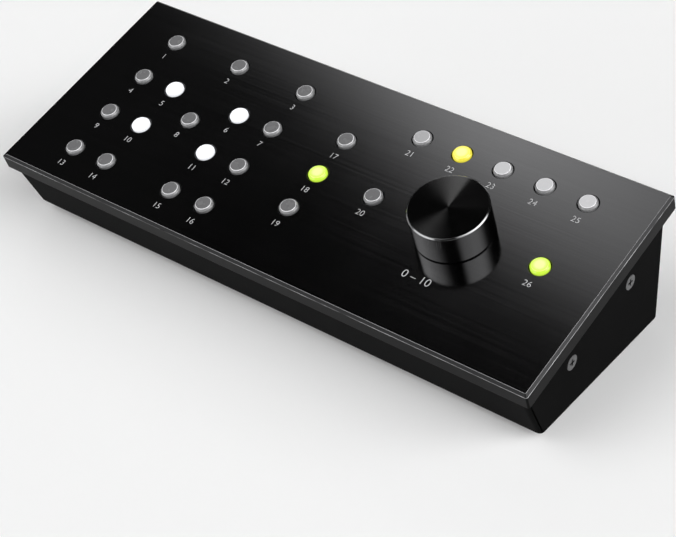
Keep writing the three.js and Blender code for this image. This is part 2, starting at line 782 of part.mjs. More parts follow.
const volume = new THREE.Group();
volume.position.set(knobX, middleV, 0);
deck.add(volume);
volume.add(toMesh('encoder_body', encoderBody(), darkPlastic));
volume.add(toMesh('encoder_washer', encoderWasher(), plainSteel));
volume.add(toMesh('encoder_nut', encoderNut(), plainSteel));
volume.add(toMesh('encoder_shaft', encoderShaft(), plainSteel));
volume.add(toMesh('knob_insert', knobInsert(), darkPlastic));
volume.add(toMesh('volume_knob', knob(), knobMetal));

export default remote;
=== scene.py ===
import json
import math

import bmesh
import bpy
from mathutils import Euler, Matrix, Vector


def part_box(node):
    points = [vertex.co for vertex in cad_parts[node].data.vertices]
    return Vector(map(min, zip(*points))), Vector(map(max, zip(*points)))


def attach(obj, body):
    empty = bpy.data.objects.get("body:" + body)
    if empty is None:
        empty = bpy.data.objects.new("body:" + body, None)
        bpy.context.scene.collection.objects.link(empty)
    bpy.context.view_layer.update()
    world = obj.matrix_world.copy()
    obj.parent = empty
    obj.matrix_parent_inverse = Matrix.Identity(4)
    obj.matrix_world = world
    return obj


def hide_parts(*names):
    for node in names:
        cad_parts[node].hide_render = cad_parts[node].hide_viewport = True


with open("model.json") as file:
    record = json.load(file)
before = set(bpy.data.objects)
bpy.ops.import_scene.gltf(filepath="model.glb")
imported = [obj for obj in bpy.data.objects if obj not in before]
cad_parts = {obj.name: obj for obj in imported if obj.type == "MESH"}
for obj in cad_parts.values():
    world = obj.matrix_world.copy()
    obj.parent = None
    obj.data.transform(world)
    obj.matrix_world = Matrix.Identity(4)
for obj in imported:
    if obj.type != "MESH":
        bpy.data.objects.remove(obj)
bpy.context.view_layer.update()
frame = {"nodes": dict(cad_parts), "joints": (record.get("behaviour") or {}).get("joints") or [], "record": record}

mm = 0.001
scene = bpy.context.scene
scene.view_settings.view_transform = "Standard"

# The deck's own axes, from the knob's foot: along X, up the slope and out of the plate
turnJoint = next(j for j in frame["joints"] if j["name"] == "volume_turn")
outward = Vector(turnJoint["axis"]).normalized()
upSlope = outward.cross(Vector((1, 0, 0))).normalized()
knobFoot = Vector(turnJoint["pos_m"])
deckPlace = Matrix.Translation(knobFoot) @ Matrix(((1, 0, 0), upSlope, outward)).transposed().to_4x4()
bodyOf = {node: body for body, nodes in frame["record"]["behaviour"]["bodies"].items() for node in nodes}
slotOf = {row["node"]: row["material_slot"] for row in frame["record"]["subparts"]}


def nodesOf(start):  # the CAD nodes whose names begin in one way
    return sorted(name for name in frame["nodes"] if name.startswith(start))


def nodeSpan(name):  # lowest and highest corner of a node in the deck's axes
    back = deckPlace.inverted()
    points = [back @ v.co for v in frame["nodes"][name].data.vertices]
    return [Vector(pick(p[i] for p in points) for i in range(3)) for pick in (min, max)]


def onDeck(point):  # the place on the plate's face at a point of the deck's axes, and the way it looks
    return deckPlace @ Vector((point.x, point.y, 0)), outward


def newObject(name, data):
    made = bpy.data.objects.new(name, data)
    scene.collection.objects.link(made)
    return made


# Camera at the photograph's angle
print("camera")
photoView = {
    "place": (0.35289, -0.40187, 0.41481),
    "turned": (52.326, 1.162, 36.264),  # degrees about X, Y and Z
    "lens": 91.793,
    "sensor": 36.0,
    "shift": (-0.1287, -0.0096),
    "farthest": 100,
}


def makeCamera(view):
    data = bpy.data.cameras.new("photoCamera")
    data.lens = view["lens"]
    data.sensor_width = view["sensor"]
    data.shift_x, data.shift_y = view["shift"]
    data.clip_end = view["farthest"]
    camera = newObject("photoCamera", data)
    turn = Euler([math.radians(angle) for angle in view["turned"]])
    camera.matrix_world = Matrix.Translation(view["place"]) @ turn.to_matrix().to_4x4()
    scene.camera = camera


makeCamera(photoView)


def addNode(tree, kind, values=None, **settings):  # a node with its settings, and its inputs set or linked
    node = tree.nodes.new(kind)
    for key, value in settings.items():
        setattr(node, key, value)
    for socket, value in (values or {}).items():
        if isinstance(value, bpy.types.NodeSocket):
            tree.links.new(value, node.inputs[socket])
        else:
            node.inputs[socket].default_value = value
    return node


def newGroup(name, kind, inputs, outputs):  # a node tree with named sockets, its input and output nodes
    tree = bpy.data.node_groups.new(name, kind)
    for direction, sockets in (("INPUT", inputs), ("OUTPUT", outputs)):
        for label, socketType in sockets.items():
            tree.interface.new_socket(label, in_out=direction, socket_type="NodeSocket" + socketType)
    return tree, addNode(tree, "NodeGroupInput"), addNode(tree, "NodeGroupOutput")


def maths(tree, operation, first, second=0.0):
    return addNode(tree, "ShaderNodeMath", {0: first, 1: second}, operation=operation).outputs[0]


def ramp(tree, value, fromLow, fromHigh, toLow, toHigh, blend="LINEAR"):
    values = {"Value": value, "From Min": fromLow, "From Max": fromHigh, "To Min": toLow, "To Max": toHigh}
    return addNode(tree, "ShaderNodeMapRange", values, interpolation_type=blend).outputs[0]


def newFinish(name, **constants):  # a material with plain values on its shader's sockets
    material = bpy.data.materials.new(name)
    material.use_nodes = True
    shader = material.node_tree.nodes["Principled BSDF"]
    for socket, value in constants.items():
        shader.inputs[socket.replace("_", " ")].default_value = value
    return material, material.node_tree, shader


# Studio: a dim room, a pale horizon and soft boxes, with a pale floor below
print("studio")
studio = {
    "room": 0.006,
    "horizon": 1.0,
    "horizonReach": (0.05, 0.16),  # sine of the elevation where the pale band starts to fade and ends
    "floorSpan": 40.0,
    "floorTone": 0.86,
    "floorRough": 0.6,
    "floorShine": 0.1,
    "floorGlow": 0.1,  # what the eye sees on top of the lit floor
    "boxes": {  # degrees, with half angles; the edges are shares of the distance
        "frontLeft": {"azimuth": -143, "elevation": 47.2, "turn": 20, "wide": 22, "high": 18.8,
                      "edges": (0.25, 0.02), "level": 3.8},
        "frontLow": {"azimuth": -147, "elevation": 14, "turn": 0, "wide": 24, "high": 8,
                     "edges": (0.1, 0.05), "level": 3.0},
        "right": {"azimuth": 90, "elevation": 41.2, "turn": -25.3, "wide": 39, "high": 14,
                  "edges": (0.2, 0.2), "level": 5.8},
        "rearHigh": {"azimuth": -52.8, "elevation": 54.3, "turn": 21.5, "wide": 4.8, "high": 2.9,
                     "edges": (0.043, 0.27), "level": 2.2},
        "rearLow": {"azimuth": -47.1, "elevation": 28.1, "turn": -52, "wide": 12.7, "high": 3.5,
                    "edges": (0.021, 0.03), "level": 3.2},
        "leftDim": {"azimuth": -75, "elevation": 43, "turn": 0, "wide": 28, "high": 9,
                    "edges": (0.2, 0.08), "level": 0.016},
    },
}


def softBoxGroup():  # one where a direction meets a soft-edged rectangle, nought elsewhere
    numbers = ("Azimuth", "Elevation", "Turn", "Half Width", "Half Height", "Side Edge", "Top Edge")
    tree, given, result = newGroup("softBox", "ShaderNodeTree", {
        "Direction": "Vector", **dict.fromkeys(numbers, "Float")}, {"Mask": "Float"})
    facing = given.outputs["Direction"]
    for axis, angle in (("Z_AXIS", given.outputs["Azimuth"]),
                        ("X_AXIS", maths(tree, "MULTIPLY", given.outputs["Elevation"], -1)),
                        ("Y_AXIS", maths(tree, "MULTIPLY", given.outputs["Turn"], -1))):
        facing = addNode(tree, "ShaderNodeVectorRotate", {"Vector": facing, "Angle": angle},
                         rotation_type=axis).outputs[0]
    parts = addNode(tree, "ShaderNodeSeparateXYZ", {0: facing}).outputs
    depth = maths(tree, "MAXIMUM", parts["Y"], 0.001)  # kept above nought, because it divides below
    mask = maths(tree, "GREATER_THAN", parts["Y"], 0.0)
    for side, half, edge in (("X", "Half Width", "Side Edge"), ("Z", "Half Height", "Top Edge")):
        reach = maths(tree, "ABSOLUTE", maths(tree, "DIVIDE", parts[side], depth))
        inner = maths(tree, "SUBTRACT", given.outputs[half], given.outputs[edge])
        outer = maths(tree, "ADD", given.outputs[half], given.outputs[edge])
        mask = maths(tree, "MULTIPLY", mask, ramp(tree, reach, inner, outer, 1.0, 0.0, "SMOOTHSTEP"))
    tree.links.new(mask, result.inputs["Mask"])
    return tree


def lightStudio(light):
    world = bpy.data.worlds.new("studio")
    scene.world = world
    world.use_nodes = True
    tree = world.node_tree
    tree.nodes.clear()
    direction = addNode(tree, "ShaderNodeTexCoord").outputs["Generated"]
    height = addNode(tree, "ShaderNodeSeparateXYZ", {0: direction}).outputs["Z"]
    level = ramp(tree, maths(tree, "ABSOLUTE", height), *light["horizonReach"],
                 light["horizon"], light["room"], "SMOOTHSTEP")
    group = softBoxGroup()
    for box in light["boxes"].values():
        mask = addNode(tree, "ShaderNodeGroup", {
            "Direction": direction,
            "Azimuth": math.radians(box["azimuth"]),
            "Elevation": math.radians(box["elevation"]),
            "Turn": math.radians(box["turn"]),
            "Half Width": math.tan(math.radians(box["wide"])),
            "Half Height": math.tan(math.radians(box["high"])),
            "Side Edge": box["edges"][0],
            "Top Edge": box["edges"][1],
        }, node_tree=group).outputs["Mask"]
        level = maths(tree, "ADD", level, maths(tree, "MULTIPLY", mask, box["level"]))
    background = addNode(tree, "ShaderNodeBackground", {"Strength": level})
    addNode(tree, "ShaderNodeOutputWorld", {"Surface": background.outputs[0]})


def makeFloor(light):
    half = light["floorSpan"] / 2
    mesh = bpy.data.meshes.new("floor")
    corners = [(-half, -half, 0), (half, -half, 0), (half, half, 0), (-half, half, 0)]
    mesh.from_pydata(corners, [], [(0, 1, 2, 3)])
    floor = newObject("floor", mesh)
    material, tree, shader = newFinish(
        "paleFloor", Base_Color=(light["floorTone"],) * 3 + (1,), Roughness=light["floorRough"],
        Specular_IOR_Level=light["floorShine"], Emission_Color=(1, 1, 1, 1))
    ray = addNode(tree, "ShaderNodeLightPath").outputs
    seen = maths(tree, "MAXIMUM", ray["Is Camera Ray"],
                 maths(tree, "MAXIMUM", ray["Is Glossy Ray"], ray["Is Transmission Ray"]))
    tree.links.new(maths(tree, "MULTIPLY", seen, light["floorGlow"]), shader.inputs["Emission Strength"])
    mesh.materials.append(material)


lightStudio(studio)
makeFloor(studio)

# Effects that several finishes share
print("finishes")


def brushedLinesGroup():  # fine straight lines, long along one axis of the vector that comes in
    tree, given, result = newGroup("brushedLines", "ShaderNodeTree", {
        "Vector": "Vector", "Along": "Float", "Across": "Float"}, {"Lines": "Float"})
    scales = addNode(tree, "ShaderNodeCombineXYZ", {
        "X": given.outputs["Along"], "Y": given.outputs["Across"], "Z": given.outputs["Across"]})
    stretched = addNode(tree, "ShaderNodeVectorMath", {0: given.outputs["Vector"], 1: scales.outputs[0]},
                        operation="MULTIPLY")
    noise = addNode(tree, "ShaderNodeTexNoise", {
        "Vector": stretched.outputs[0], "Scale": 1.0, "Detail": 3.0, "Roughness": 0.65})
    tree.links.new(ramp(tree, noise.outputs[0], 0.3, 0.7, 0.0, 1.0), result.inputs["Lines"])
    return tree


def speckleGroup():  # small even grain, with slow clouds over it
    tree, given, result = newGroup("speckle", "ShaderNodeTree", {
        "Vector": "Vector", "Grain Size": "Float", "Cloud Size": "Float"},
        {"Grain": "Float", "Clouds": "Float"})
    for size, label, detail in (("Grain Size", "Grain", 2.0), ("Cloud Size", "Clouds", 4.0)):
        scale = maths(tree, "DIVIDE", 1.0, given.outputs[size])
        noise = addNode(tree, "ShaderNodeTexNoise", {
            "Vector": given.outputs["Vector"], "Scale": scale, "Detail": detail})
        tree.links.new(ramp(tree, noise.outputs[0], 0.25, 0.75, 0.0, 1.0), result.inputs[label])
    return tree


def bandGroup():  # one inside a band of values and nought outside it
    tree, given, result = newGroup("band", "ShaderNodeTree", {
        "Value": "Float", "Low": "Float", "High": "Float", "Softness": "Float"}, {"Mask": "Float"})
    value, low, high, soft = [given.outputs[label] for label in ("Value", "Low", "High", "Softness")]
    rise = ramp(tree, value, maths(tree, "SUBTRACT", low, soft), low, 0, 1)
    fall = ramp(tree, value, high, maths(tree, "ADD", high, soft), 1, 0)
    tree.links.new(maths(tree, "MULTIPLY", rise, fall), result.inputs["Mask"])
    return tree


brushedLines = brushedLinesGroup()
speckle = speckleGroup()
band = bandGroup()


def objectPlace(tree):
    return addNode(tree, "ShaderNodeTexCoord").outputs["Object"]


def grainChart(tree):  # the two parts of the piece's own chart of its grain
    chart = addNode(tree, "ShaderNodeUVMap", uv_map="grain").outputs[0]
    return addNode(tree, "ShaderNodeSeparateXYZ", {0: chart}).outputs


def linesIn(tree, vector, along, across):
    values = {"Vector": vector, "Along": along, "Across": across}
    return addNode(tree, "ShaderNodeGroup", values, node_tree=brushedLines).outputs["Lines"]


def specklesIn(tree, grainSize, cloudSize):
    values = {"Vector": objectPlace(tree), "Grain Size": grainSize, "Cloud Size": cloudSize}
    return addNode(tree, "ShaderNodeGroup", values, node_tree=speckle).outputs


def bandMask(tree, value, low, high, softness):
    values = {"Value": value, "Low": low, "High": high, "Softness": softness}
    return addNode(tree, "ShaderNodeGroup", values, node_tree=band).outputs["Mask"]


def mixed(tree, mask, first, second):  # a value between two, by a mask
    return addNode(tree, "ShaderNodeMix", {0: mask, 2: first, 3: second}, data_type="FLOAT").outputs[0]


def tones(tree, mask, low, high):  # a colour between two, plain ones or the outputs of nodes, by a mask
    low, high = [end if isinstance(end, bpy.types.NodeSocket) else (*end, 1) for end in (low, high)]
    return addNode(tree, "ShaderNodeMix", {0: mask, 6: low, 7: high}, data_type="RGBA").outputs[2]


def grey(level):
    return (level, level, level * 1.02)


def greys(levels):
    return [grey(level) for level in levels]


def bumped(tree, shader, height, distance, strength=1.0):
    bump = addNode(tree, "ShaderNodeBump", {"Height": height, "Distance": distance, "Strength": strength})
    tree.links.new(bump.outputs[0], shader.inputs["Normal"])


def grainTangent(tree, shader):  # the wide side of the gloss lies across the grain
    tangent = addNode(tree, "ShaderNodeTangent", direction_type="UV_MAP", uv_map="grain")
    tree.links.new(tangent.outputs[0], shader.inputs["Tangent"])


def blackAnodised():  # a polished, finely brushed face, satin edges, and a band of bright bare metal along the outer edge, a painted highlight for that edge's glint
    look = {
        "face": (0.175, 0.225),
        "bevel": (0.018, 0.026),
        "lip": 0.003,
        "edgeHighlight": (0.02, 0.5),
        "rough": (0.07, 0.12),
        "smudgeRough": (-0.01, 0.02),
        "edgeRough": 0.3,
        "along": 9,
        "across": 5200,
        "lineBump": (0.001 * mm, 0.3),
        "smudge": 45 * mm,
        "faceDepth": 0.04 * mm,
        "outerEdge": (-1.16 * mm, -1.06 * mm),
        "edgeHighlightSoftness": 0.05 * mm,
        "edgeHighlightBreak": 9 * mm,
    }
    material, tree, shader = newFinish("blackAnodised", Metallic=1.0, Anisotropic=0.4,
                                       Specular_Tint=(0.75, 0.75, 0.75, 1))
    place = objectPlace(tree)
    lines = linesIn(tree, place, look["along"], look["across"])
    smudges = specklesIn(tree, look["edgeHighlightBreak"], look["smudge"])
    above = addNode(tree, "ShaderNodeVectorMath", {0: place, 1: tuple(outward)}, operation="DOT_PRODUCT")
    height = maths(tree, "SUBTRACT", above.outputs["Value"], outward.dot(knobFoot))
    face = ramp(tree, height, -2 * look["faceDepth"], -look["faceDepth"], 0, 1)
    bevel = ramp(tree, height, *look["outerEdge"], 0, 1)
    # painted highlight: a thin band of bright bare metal along the bevel's outer edge, broken up along its length,
    # that strengthens the edge's glint
    edgeHighlight = bandMask(tree, height, *look["outerEdge"], look["edgeHighlightSoftness"])
    polished = tones(tree, lines, *greys(look["face"]))
    satin = tones(tree, lines, *greys(look["bevel"]))
    highlightMetal = tones(tree, smudges["Grain"], *greys(look["edgeHighlight"]))
    edges = tones(tree, bevel, grey(look["lip"]), satin)
    base = tones(tree, edgeHighlight, tones(tree, face, edges, polished), highlightMetal)
    tree.links.new(base, shader.inputs["Base Color"])
    rough = maths(tree, "ADD", ramp(tree, lines, 0, 1, *look["rough"]),
                  ramp(tree, smudges["Clouds"], 0, 1, *look["smudgeRough"]))
    tree.links.new(mixed(tree, face, look["edgeRough"], rough), shader.inputs["Roughness"])
    bumped(tree, shader, lines, *look["lineBump"])
    grainTangent(tree, shader)
    return material


def knobMetal(topStart, edge):  # turned: fine grooves round the axis, and a brighter cut along the upper edge
    look = {
        "tone": (0.0003, 0.001),
        "cut": (0.22, 0.36),
        "cutSoftness": 0.06 * mm,
        "rough": (0.12, 0.16),
        "around": 3,
        "grooves": 7000,
        "rake": 0.2,  # the grooves' walls lean outwards on the top
    }
    material, tree, shader = newFinish("knobMetal", IOR=1.65, Anisotropic=0.9)
    chart = grainChart(tree)
    turned = addNode(tree, "ShaderNodeCombineXYZ", {"X": chart["Y"], "Y": chart["X"]}).outputs[0]
    lines = linesIn(tree, turned, look["around"], look["grooves"])
    cut = bandMask(tree, chart["X"], topStart - edge, topStart, look["cutSoftness"])
    base = tones(tree, cut, tones(tree, lines, *greys(look["tone"])), tones(tree, lines, *greys(look["cut"])))
    tree.links.new(base, shader.inputs["Base Color"])
    tree.links.new(cut, shader.inputs["Metallic"])
    tree.links.new(ramp(tree, lines, 0, 1, *look["rough"]), shader.inputs["Roughness"])
    past = maths(tree, "MAXIMUM", maths(tree, "SUBTRACT", chart["X"], topStart), 0.0)
    bumped(tree, shader, maths(tree, "MULTIPLY", past, look["rake"]), 1.0)  # the height is in metres
    grainTangent(tree, shader)
    return material


# Paint, rubber, plastics and plain metals: a small grain breaks up the gloss, and slow clouds the tone
speckledLooks = {
    "blackPaint": {"tones": greys((0.0015, 0.003)), "rough": (0.5, 0.6),
                   "grain": 0.25 * mm, "cloud": 30 * mm, "bump": 0.01 * mm, "shader": {"IOR": 1.07}},
    "blackRubber": {"tones": greys((0.010, 0.016)), "rough": (0.75, 0.9),
                    "grain": 0.4 * mm, "cloud": 5 * mm, "bump": 0.02 * mm,
                    "shader": {"Specular_IOR_Level": 0.3}},
    "darkPlastic": {"tones": greys((0.014, 0.02)), "rough": (0.5, 0.65),
                    "grain": 0.3 * mm, "cloud": 6 * mm, "bump": 0.01 * mm},
    "plainSteel": {"tones": greys((0.42, 0.5)), "rough": (0.28, 0.42),
                   "grain": 0.15 * mm, "cloud": 3 * mm, "bump": 0.004 * mm, "shader": {"Metallic": 1.0}},
    "screwBlack": {"tones": greys((0.13, 0.18)), "rough": (0.3, 0.42),
                   "grain": 0.15 * mm, "cloud": 2 * mm, "bump": 0.004 * mm, "shader": {"Metallic": 1.0}},
    "ivoryPlastic": {"tones": ((0.5, 0.48, 0.42), (0.6, 0.58, 0.52)), "rough": (0.35, 0.5),
                     "grain": 0.2 * mm, "cloud": 3 * mm, "bump": 0.004 * mm},
    "goldContact": {"tones": ((0.75, 0.5, 0.18), (0.85, 0.6, 0.25)), "rough": (0.2, 0.3),
                    "grain": 0.1 * mm, "cloud": 2 * mm, "bump": 0.002 * mm, "shader": {"Metallic": 1.0}},
    "circuitBoard": {"tones": ((0.008, 0.05, 0.024), (0.016, 0.08, 0.036)), "rough": (0.35, 0.5),
                     "grain": 0.5 * mm, "cloud": 2.5 * mm, "bump": 0.02 * mm},
    "printWhite": {"tones": greys((0.5, 0.62)), "rough": (0.5, 0.65),
                   "grain": 0.1 * mm, "cloud": 3 * mm, "bump": 0.003 * mm},
}


def speckled(name):
    look = speckledLooks[name]
    material, tree, shader = newFinish(name, **look.get("shader", {}))
    speckles = specklesIn(tree, look["grain"], look["cloud"])
    tree.links.new(tones(tree, speckles["Clouds"], *look["tones"]), shader.inputs["Base Color"])
    tree.links.new(ramp(tree, speckles["Grain"], 0, 1, *look["rough"]), shader.inputs["Roughness"])
    bumped(tree, shader, speckles["Grain"], look["bump"], strength=0.5)
    return material


def ribbonGrey():  # a flat cable, ridged by its wires, with painted shade in the grooves between them
    look = {"pitch": 1.27 * mm, "grooveShade": (-1, -0.4), "tones": (0.12, 0.28), "bump": 0.2 * mm, "rough": 0.5}
    material, tree, shader = newFinish("ribbonGrey", Roughness=look["rough"])
    across = addNode(tree, "ShaderNodeSeparateXYZ", {0: objectPlace(tree)}).outputs["X"]
    wires = maths(tree, "SINE", maths(tree, "MULTIPLY", across, math.tau / look["pitch"]))
    # painted shade: the tone is darker at the bottom of each groove
    base = tones(tree, ramp(tree, wires, *look["grooveShade"], 0, 1), *greys(look["tones"]))
    tree.links.new(base, shader.inputs["Base Color"])
    bumped(tree, shader, wires, look["bump"])
    return material


def capFinish(name, look):  # translucent cap: a frosted top, a bright ring round it that is a painted highlight, light from inside when lit
    frost = {
        "fade": 0.1 * mm,
        "rimSoftness": 0.03 * mm,
        "brightFrom": 0.6,  # share of the top's radius, from its edge, where a spread light is full
        "grain": 0.2 * mm,
        "cloud": 4 * mm,
        "grainTone": (0.85, 1.0),
        "sideRough": 0.12,
        "topRough": (0.22, 0.3),
    }
    material, tree, shader = newFinish(name, IOR=1.5)
    along = grainChart(tree)["X"]
    topStart, rim = capSize["length"] - capSize["topRadius"], capSize["rim"]
    top = ramp(tree, along, topStart, topStart + frost["fade"], 0, 1)
    # painted highlight: a bright ring round the top's edge, in the rim colour
    ring = bandMask(tree, along, topStart - rim, topStart + rim / 2, frost["rimSoftness"])
    speckles = specklesIn(tree, frost["grain"], frost["cloud"])
    frosted = maths(tree, "MULTIPLY", top, ramp(tree, speckles["Grain"], 0, 1, *frost["grainTone"]))
    base = tones(tree, ring, tones(tree, frosted, look["edge"], look["middle"]), look["rim"])
    tree.links.new(base, shader.inputs["Base Color"])
    topRough = ramp(tree, speckles["Clouds"], 0, 1, *frost["topRough"])
    tree.links.new(mixed(tree, top, frost["sideRough"], topRough), shader.inputs["Roughness"])
    if look.get("glow"):
        full = topStart + frost["brightFrom"] * capSize["topRadius"]
        lit = top if look.get("even") else ramp(tree, along, topStart - rim, full, 0, 1, "SMOOTHSTEP")
        shown = ramp(tree, along, *[topStart - depth for depth in capSize["shown"]], 0, 1)
        glow = tones(tree, shown, (0, 0, 0), tones(tree, lit, look["glowEdge"], look["glowMiddle"]))
        tree.links.new(glow, shader.inputs["Emission Color"])
        shader.inputs["Emission Strength"].default_value = look["glow"]
    return material


# Turned pieces: a profile of (radius, height) points, drawn once and copied to every place
print("node trees")


def softened(points, radius, steps=4):  # the same outline with its inner corners rounded
    straight = math.radians(88)  # half of an angle that is left as it is
    most = 0.45  # share of a side that a corner may take
    out = [Vector(points[0])]
    for before, corner, after in zip(points, points[1:], points[2:]):
        corner = Vector(corner)
        toBefore, toAfter = Vector(before) - corner, Vector(after) - corner
        half = toBefore.angle(toAfter) / 2
        if half > straight:
            out.append(corner)
            continue
        reach = min(radius / math.tan(half), toBefore.length * most, toAfter.length * most)
        size = reach * math.tan(half)
        back, onward = toBefore.normalized(), toAfter.normalized()
        start, end = corner + back * reach, corner + onward * reach
        centre = corner + (back + onward).normalized() * (size / math.sin(half))
        fromStart, fromEnd = start - centre, end - centre
        sweep = fromStart.angle(fromEnd)
        for i in range(steps + 1):
            share = i / steps
            first = math.sin((1 - share) * sweep) / math.sin(sweep)
            second = math.sin(share * sweep) / math.sin(sweep)
            out.append(centre + fromStart * first + fromEnd * second)
    out.append(Vector(points[-1]))
    return out


def vectorAttribute(tree, name):
    node = addNode(tree, "GeometryNodeInputNamedAttribute", {"Name": name}, data_type="FLOAT_VECTOR")
    return node.outputs[0]


def realAndPainted(tree, geometry, finish):  # how each tree ends
    real = addNode(tree, "GeometryNodeRealizeInstances", {"Geometry": geometry}).outputs[0]
    return addNode(tree, "GeometryNodeSetMaterial", {"Geometry": real, "Material": finish}).outputs[0]


def turnedTree():
    weld = 0.0005 * mm
    tree, given, result = newGroup("turnedPiece", "GeometryNodeTree", {
        "Profile": "Geometry", "Sides": "Int", "Finish": "Material"}, {"Piece": "Geometry"})
    sides = given.outputs["Sides"]
    outline = addNode(tree, "GeometryNodeMeshToCurve", {"Mesh": given.outputs["Profile"]}).outputs[0]
    count = addNode(tree, "GeometryNodeAttributeDomainSize", {"Geometry": outline},
                    component="CURVE").outputs[0]
    grid = addNode(tree, "GeometryNodeMeshGrid", {
        "Vertices X": maths(tree, "ADD", sides, 1), "Vertices Y": count}).outputs["Mesh"]
    index = addNode(tree, "GeometryNodeInputIndex").outputs[0]
    row = maths(tree, "FLOORED_MODULO", index, count)
    column = maths(tree, "FLOOR", maths(tree, "DIVIDE", maths(tree, "ADD", index, 0.5), count))
    share = maths(tree, "DIVIDE", column, sides)
    length = addNode(tree, "GeometryNodeSplineParameter").outputs["Length"]
    place = addNode(tree, "GeometryNodeInputPosition").outputs[0]
    point = addNode(tree, "GeometryNodeSampleIndex", {"Geometry": outline, "Value": place, "Index": row},
                    data_type="FLOAT_VECTOR").outputs[0]
    along = addNode(tree, "GeometryNodeSampleIndex", {"Geometry": outline, "Value": length, "Index": row},
                    data_type="FLOAT").outputs[0]
    chart = addNode(tree, "ShaderNodeCombineXYZ", {"X": along, "Y": share}).outputs[0]
    marked = addNode(tree, "GeometryNodeStoreNamedAttribute", {
        "Geometry": grid, "Name": "unrolled", "Value": chart},
        data_type="FLOAT_VECTOR", domain="POINT").outputs[0]
    turned = addNode(tree, "ShaderNodeVectorRotate", {
        "Vector": point, "Angle": maths(tree, "MULTIPLY", share, math.tau)},
        rotation_type="Z_AXIS").outputs[0]
    shaped = addNode(tree, "GeometryNodeSetPosition", {"Geometry": marked, "Position": turned}).outputs[0]
    charted = addNode(tree, "GeometryNodeStoreNamedAttribute", {
        "Geometry": shaped, "Name": "grain", "Value": vectorAttribute(tree, "unrolled")},
        data_type="FLOAT2", domain="CORNER").outputs[0]
    closed = addNode(tree, "GeometryNodeMergeByDistance", {"Geometry": charted, "Distance": weld}).outputs[0]
    tree.links.new(realAndPainted(tree, closed, given.outputs["Finish"]), result.inputs["Piece"])
    return tree


def copiesTree():
    tree, given, result = newGroup("placedCopies", "GeometryNodeTree", {
        "Places": "Geometry", "Piece": "Object", "Finish": "Material"}, {"Copies": "Geometry"})
    piece = addNode(tree, "GeometryNodeObjectInfo", {"Object": given.outputs["Piece"]}).outputs["Geometry"]
    turn = addNode(tree, "FunctionNodeAlignRotationToVector", {"Vector": vectorAttribute(tree, "facing")},
                   axis="Z").outputs[0]
    copies = addNode(tree, "GeometryNodeInstanceOnPoints", {
        "Points": given.outputs["Places"], "Instance": piece, "Rotation": turn}).outputs[0]
    tree.links.new(realAndPainted(tree, copies, given.outputs["Finish"]), result.inputs["Copies"])
    return tree


turnedPiece = turnedTree()
placedCopies = copiesTree()


def runTree(tree, mesh, inputs):  # the tree's result on a mesh, as a plain mesh
    holder = newObject("holder", mesh)
    modifier = holder.modifiers.new("nodes", "NODES")
    modifier.node_group = tree
    for socket in tree.interface.items_tree:
        if socket.item_type == "SOCKET" and socket.in_out == "INPUT" and socket.name in inputs:
            modifier[socket.identifier] = inputs[socket.name]
    return plainMesh(holder)


def plainMesh(holder):  # the evaluated mesh of an object, which is then removed
    layer = bpy.context.evaluated_depsgraph_get()
    layer.update()
    mesh = bpy.data.meshes.new_from_object(
        holder.evaluated_get(layer), preserve_all_data_layers=True, depsgraph=layer)
    bpy.data.objects.remove(holder)
    return mesh


def turnedMesh(profile, sides, finish=None):
    mesh = bpy.data.meshes.new("profile")
    mesh.from_pydata([(r, 0, z) for r, z in profile], [(i, i + 1) for i in range(len(profile) - 1)], [])
    return runTree(turnedPiece, mesh, {"Sides": sides, "Finish": finish})


def rodMesh(radius, low, high, sides):
    return turnedMesh([(0, low), (radius, low), (radius, high), (0, high)], sides)


def copiedMesh(piece, places, finish=None):  # a piece's mesh at each (place, facing)
    spots = bpy.data.meshes.new("places")
    spots.from_pydata([place for place, _ in places], [], [])
    facing = spots.attributes.new("facing", "FLOAT_VECTOR", "POINT")
    facing.data.foreach_set("vector", [part for _, way in places for part in way])
    master = newObject("master", piece)
    mesh = runTree(placedCopies, spots, {"Piece": master, "Finish": finish})
    bpy.data.objects.remove(master)
    return mesh


def smoothed(mesh):
    sharpFrom = math.radians(32)
    mesh.polygons.foreach_set("use_smooth", [True] * len(mesh.polygons))
    mesh.set_sharp_from_angle(angle=sharpFrom)
    return mesh


def evenNormals(mesh):  # large flat faces keep their own normal beside rounded edges
    holder = newObject("holder", smoothed(mesh))
    modifier = holder.modifiers.new("normals", "WEIGHTED_NORMAL")
    modifier.keep_sharp = True
    modifier.weight = 100
    return plainMesh(holder)


def combined(mesh, tools, operation="DIFFERENCE"):  # the mesh with others cut out of it or joined to it
    holder = newObject("holder", mesh)
    others = []
    for tool in tools:
        others.append(newObject("tool", tool))
        modifier = holder.modifiers.new("tool", "BOOLEAN")
        modifier.operation = operation
        modifier.solver = "EXACT"
        modifier.object = others[-1]
    result = plainMesh(holder)
    for other in others:
        bpy.data.objects.remove(other)
    return result


def joined(name, meshes):  # several meshes as one, with their doubles merged
    whole = bmesh.new()
    for mesh in meshes:
        whole.from_mesh(mesh)
    bmesh.ops.remove_doubles(whole, verts=whole.verts, dist=0.0001 * mm)
    mesh = bpy.data.meshes.new(name)
    whole.to_mesh(mesh)
    whole.free()
    return mesh


def roundedRing(half, front, rear, radius, height, steps):  # a level rectangle with rounded corners
    ring = []
    for x, y, start in ((half - radius, front + radius, -90), (half - radius, rear - radius, 0),
                        (radius - half, rear - radius, 90), (radius - half, front + radius, 180)):
        for i in range(steps + 1):
            angle = math.radians(start + 90 * i / steps)
            ring.append((x + radius * math.cos(angle), y + radius * math.sin(angle), height))
    return ring


def loft(rings):  # a closed skin through rings of equal counts, lowest first
    count = len(rings[0])
    faces = [list(range(count))[::-1], [(len(rings) - 1) * count + i for i in range(count)]]
    for level in range(len(rings) - 1):
        for i in range(count):
            a, b = level * count + i, level * count + (i + 1) % count
            faces.append((a, b, b + count, a + count))
    mesh = bpy.data.meshes.new("loft")
    mesh.from_pydata([point for ring in rings for point in ring], [], faces)
    return mesh


